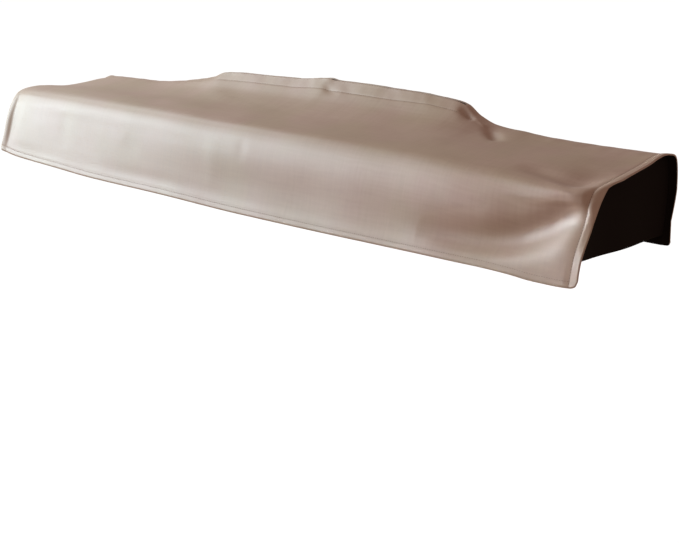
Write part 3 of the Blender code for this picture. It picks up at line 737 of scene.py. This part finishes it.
def surface_normals(place):
    """Unit normals of a grid of places, facing up and out."""
    along_x = np.gradient(place, axis=0)
    along_row = np.gradient(place, axis=1)
    normal = np.cross(along_x, along_row)
    return normal / np.linalg.norm(normal, axis=2)[:, :, None]


def at_run(where, run, values):
    """The values of a line of points at one distance along it."""
    return np.array([np.interp(where, run, values[:, c]) for c in range(3)])


def add_stitches(bm, points, normals):
    """Stitches of one run: small rounded loops of thread, end to end, half sunk in the cloth."""
    run = run_of(points)
    count = int(run[-1] / STITCH_PITCH)
    for k in range(count):
        middle = (k + 0.5) * run[-1] / count
        here = at_run(middle, run, points)
        ahead = at_run(middle + STITCH_STEP, run, points)
        behind = at_run(middle - STITCH_STEP, run, points)
        up = Vector(at_run(middle, run, normals)).normalized()
        lengthwise = Vector(ahead - behind).normalized()
        sideways = up.cross(lengthwise).normalized()
        turn = Matrix((lengthwise, sideways, up)).transposed().to_4x4()
        size = Matrix.Diagonal((STITCH_LENGTH / 2, THREAD / 2, THREAD / 2, 1.0))
        place = Matrix.Translation(Vector(here) + up * THREAD * THREAD_RISE)
        bmesh.ops.create_icosphere(bm, subdivisions=1, radius=1.0, matrix=place @ turn @ size)


def hem_stitching(xs, place, material):
    """Topstitching along the drops' hems, the right end hem and the slot's lips."""
    normals = surface_normals(place)
    bm = bmesh.new()
    end = COVER_LENGTH / 2 - END_HEM_WIDTH
    inside = np.abs(xs) <= end + TINY
    for row in (line_row("hem_seam"), line_row("back_seam")):
        add_stitches(bm, place[inside, row], normals[inside, row])
    column = int(np.argmin(np.abs(xs - end)))
    add_stitches(bm, place[column], normals[column])
    lips = (xs > SLOT_LEFT) & (xs < SLOT_RIGHT)
    for row in (line_row("foot"), line_row("back_foot") + 1):
        add_stitches(bm, place[lips, row], normals[lips, row])
    for face in bm.faces:
        face.smooth = True
    return in_scene("hem_stitching", mesh_of("hem_stitching", bm, [material]))


def cloth_noise(tree, place, scale, detail):
    """Soft noise over the cloth, from 0 to 1."""
    inputs = {"Vector": place, "Scale": scale, "Detail": detail}
    return node(tree, "ShaderNodeTexNoise", inputs).outputs["Fac"]


def ranged(tree, value, low, high, to_low=0.0, to_high=1.0):
    """A value moved from one range to another."""
    inputs = {"Value": value, "From Min": low, "From Max": high, "To Min": to_low, "To Max": to_high}
    return node(tree, "ShaderNodeMapRange", inputs).outputs["Result"]


def summed(tree, first, second):
    """Two values added."""
    return node(tree, "ShaderNodeMath", {0: first, 1: second}, operation="ADD").outputs[0]


def blended(tree, share, low, high):
    """A colour between two others. A mix node has its colours at inputs 6 and 7, and output 2."""
    return node(tree, "ShaderNodeMix", {0: share, 6: low, 7: high}, data_type="RGBA").outputs[2]


def satin_coated_cloth():
    """Polyester cloth with a thin polyurethane coat: matt at the core, with a soft wide shine.

    Slubs of yarn run both ways and show in the shade, the shine and the relief. Wide patches of shade
    and of a rosier tint keep the large faces from being even.
    """
    material, tree, shader = new_material("satin_coated_cloth")
    place = node(tree, "ShaderNodeUVMap", uv_map="cloth").outputs["UV"]
    down_scale = (SLUBS_ACROSS, SLUBS_ALONG, 1.0)
    across_scale = (SLUBS_ALONG, SLUBS_ACROSS, 1.0)
    down = node(tree, "ShaderNodeMapping", {"Vector": place, "Scale": down_scale}).outputs["Vector"]
    across = node(tree, "ShaderNodeMapping", {"Vector": place, "Scale": across_scale}).outputs["Vector"]
    streaks = summed(tree, cloth_noise(tree, down, 1.0, 3.0), cloth_noise(tree, across, 1.0, 3.0))
    cloudy = cloth_noise(tree, place, SHADE_PATCHES, 3.0)
    shade = ranged(tree, summed(tree, streaks, cloudy), 1.0, 2.0)
    moved = node(tree, "ShaderNodeMapping", {"Vector": place, "Location": TINT_START}).outputs["Vector"]
    tint = ranged(tree, cloth_noise(tree, moved, TINT_PATCHES, 1.0), 0.35, 0.65)
    dark = blended(tree, tint, CLOTH_DARK, ROSY_DARK)
    light = blended(tree, tint, CLOTH_LIGHT, ROSY_LIGHT)
    tree.links.new(blended(tree, shade, dark, light), shader.inputs["Base Color"])
    tree.links.new(ranged(tree, streaks, 0.6, 1.4, 0.50, 0.56), shader.inputs["Roughness"])
    grain = cloth_noise(tree, place, GRAIN, 2.0)
    fine = {"Height": grain, "Strength": 0.15, "Distance": 0.0002}
    long = {"Height": streaks, "Strength": 0.10, "Distance": 0.0004}
    long["Normal"] = node(tree, "ShaderNodeBump", fine).outputs[0]
    tree.links.new(node(tree, "ShaderNodeBump", long).outputs[0], shader.inputs["Normal"])
    shader.inputs["IOR"].default_value = 1.68
    shader.inputs["Specular IOR Level"].default_value = 1.0
    shader.inputs["Sheen Weight"].default_value = 0.05
    return material


def painted_shade_cloth():
    """Painted shade on the cloth's inner side and on the ends: a dull near-black brown, as dark as they
    look in deep shade.
    """
    material, _, shader = new_material("painted_shade_cloth")
    # Painted shade: this near-black brown stands in for the deep shade on the ends and the inner side
    shader.inputs["Base Color"].default_value = linear("#16100C")
    shader.inputs["Roughness"].default_value = 0.9
    shader.inputs["Specular IOR Level"].default_value = 0.1
    return material


def sewing_thread():
    """Spun polyester thread, a little darker than the cloth, with a faint shine."""
    material, _, shader = new_material("sewing_thread")
    shader.inputs["Base Color"].default_value = linear("#8C7363")
    shader.inputs["Roughness"].default_value = 0.5
    return material


def studio_floor():
    """A pale seamless floor, bright enough to run into the backdrop."""
    bm = bmesh.new()
    bmesh.ops.create_grid(bm, x_segments=1, y_segments=1, size=FLOOR_SIZE / 2)
    bmesh.ops.translate(bm, verts=bm.verts, vec=(0.0, 0.0, FLOOR_HEIGHT))
    material, _, shader = new_material("pale_floor")
    shader.inputs["Base Color"].default_value = linear("#404040")
    shader.inputs["Roughness"].default_value = 0.9
    shader.inputs["Emission Color"].default_value = linear("#FFFFFF")
    shader.inputs["Emission Strength"].default_value = 1.0
    obj = in_scene("floor", mesh_of("floor", bm, [material]))
    obj.visible_diffuse = False
    obj.visible_glossy = False
    obj.visible_shadow = False


def soft_light(name, compass, height, distance, size, watts, colour, aim, spread):
    """A square soft light at a compass angle, aimed at x on the cover."""
    around = math.radians(compass)
    rise = math.radians(height)
    ahead = Vector((math.sin(around) * math.cos(rise), -math.cos(around) * math.cos(rise), math.sin(rise)))
    data = bpy.data.lights.new(name, "AREA")
    data.size = size
    data.energy = watts
    data.color = colour
    data.spread = math.radians(spread)
    obj = in_scene(name, data)
    obj.location = ahead * distance + Vector((aim, 0.0, 0.0))
    obj.rotation_euler = (-ahead).to_track_quat("-Z", "Y").to_euler()


def backdrop():
    """A white surround for the camera, which gives the cover a weaker, warmer light."""
    world = bpy.data.worlds.new("studio")
    bpy.context.scene.world = world
    world.use_nodes = True
    tree = world.node_tree
    tree.nodes.clear()
    camera_ray = node(tree, "ShaderNodeLightPath").outputs["Is Camera Ray"]
    lit = node(tree, "ShaderNodeBackground", {"Color": FILL_COLOUR, "Strength": FILL}).outputs[0]
    shown = node(tree, "ShaderNodeBackground", {"Color": linear("#FFFFFF"), "Strength": 1.0}).outputs[0]
    mixed = node(tree, "ShaderNodeMixShader", {0: camera_ray, 1: lit, 2: shown}).outputs[0]
    node(tree, "ShaderNodeOutputWorld", {"Surface": mixed})


def camera():
    """The camera, a little above the cover and to the right of its front."""
    data = bpy.data.cameras.new("camera")
    data.sensor_fit = "HORIZONTAL"
    data.sensor_width = SENSOR
    data.lens = LENS
    obj = in_scene("camera", data)
    obj.location = CAMERA_PLACE
    obj.rotation_euler = [math.radians(a) for a in CAMERA_TURN]
    bpy.context.scene.camera = obj


def main():
    bpy.context.scene.view_settings.view_transform = "Standard"
    camera()
    backdrop()
    studio_floor()
    for light in LIGHTS:
        soft_light(*light)

    outer = satin_coated_cloth()
    # The ends and the cloth's inner side get painted shade, not the cloth's own colour
    painted_shade = painted_shade_cloth()
    thread = sewing_thread()
    xs, place, hem = panel_surface()
    panel = panel_cloth_sheet(xs, place, hem, [outer, painted_shade])
    right = end_cloth("end_cloth_right", 1, [painted_shade])
    left = end_cloth("end_cloth_left", -1, [painted_shade])
    stitches = hem_stitching(xs, place, thread)

    for piece, cad_node in ((panel, "main_panel"), (right, "end_panel_right"), (left, "end_panel_left")):
        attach(piece, "root")
        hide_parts(cad_node)
    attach(stitches, "root")


main()
